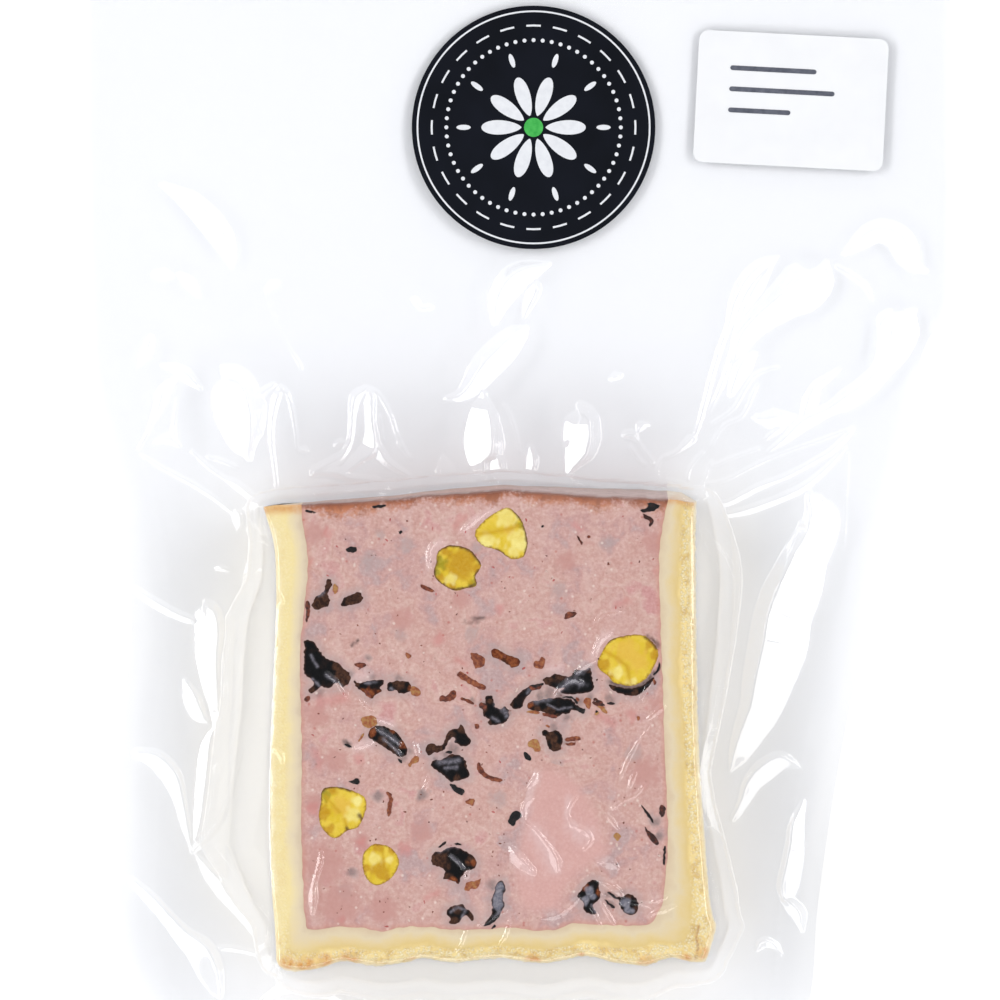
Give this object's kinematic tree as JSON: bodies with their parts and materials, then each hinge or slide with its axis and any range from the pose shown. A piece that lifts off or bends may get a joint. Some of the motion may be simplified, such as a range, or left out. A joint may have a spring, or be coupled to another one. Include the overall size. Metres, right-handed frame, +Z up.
{
  "type": "pate en croute slice in a vacuum bag",
  "caption": "Thick slice of pate en croute with pistachios and black truffle, sealed flat in a clear vacuum bag with a round sticker and a white label.",
  "frame": {"origin": "on the surface that the pack lies on, under the middle of the bag's outline", "axes": "+Z up out of the slice's shown cut face, +Y along the bag towards its labelled end, +X across the bag to the right as seen from above"},
  "size_m": [0.1805, 0.2268, 0.021],
  "materials": {
    "clear_film": "clear glossy plastic film, folded and drawn tight by the vacuum",
    "baked_pastry": "pale yellow shortcrust, sandy and golden on its baked outside, smoother where it is cut",
    "pink_forcemeat": "moist pink minced meat with pale fat and dark flecks, browned at its upper edge",
    "lean_meat": "smooth moist pink lean meat",
    "pistachio": "yellow-green kernel with a dark skin at its edge",
    "black_truffle": "moist black and dark brown, uneven",
    "black_sticker": "smooth black printed paper with thin pale lines and a green mark",
    "white_paper": "white label paper with plain grey bars"
  },
  "bodies": {
    "root": {"vacuum_bag": "clear_film", "pastry_crust": "baked_pastry", "forcemeat": "pink_forcemeat", "lean_piece": "lean_meat", "pistachio_1": "pistachio", "pistachio_2": "pistachio", "pistachio_3": "pistachio", "pistachio_4": "pistachio", "pistachio_5": "pistachio", "truffle_01": "black_truffle", "truffle_02": "black_truffle", "truffle_03": "black_truffle", "truffle_04": "black_truffle", "truffle_05": "black_truffle", "truffle_06": "black_truffle", "truffle_07": "black_truffle", "truffle_08": "black_truffle", "truffle_09": "black_truffle", "truffle_10": "black_truffle", "truffle_11": "black_truffle", "truffle_12": "black_truffle", "truffle_13": "black_truffle", "truffle_14": "black_truffle", "truffle_15": "black_truffle", "truffle_16": "black_truffle", "truffle_17": "black_truffle", "truffle_18": "black_truffle", "truffle_19": "black_truffle", "truffle_20": "black_truffle", "round_sticker": "black_sticker", "white_label": "white_paper"}
  },
  "joints": []
}
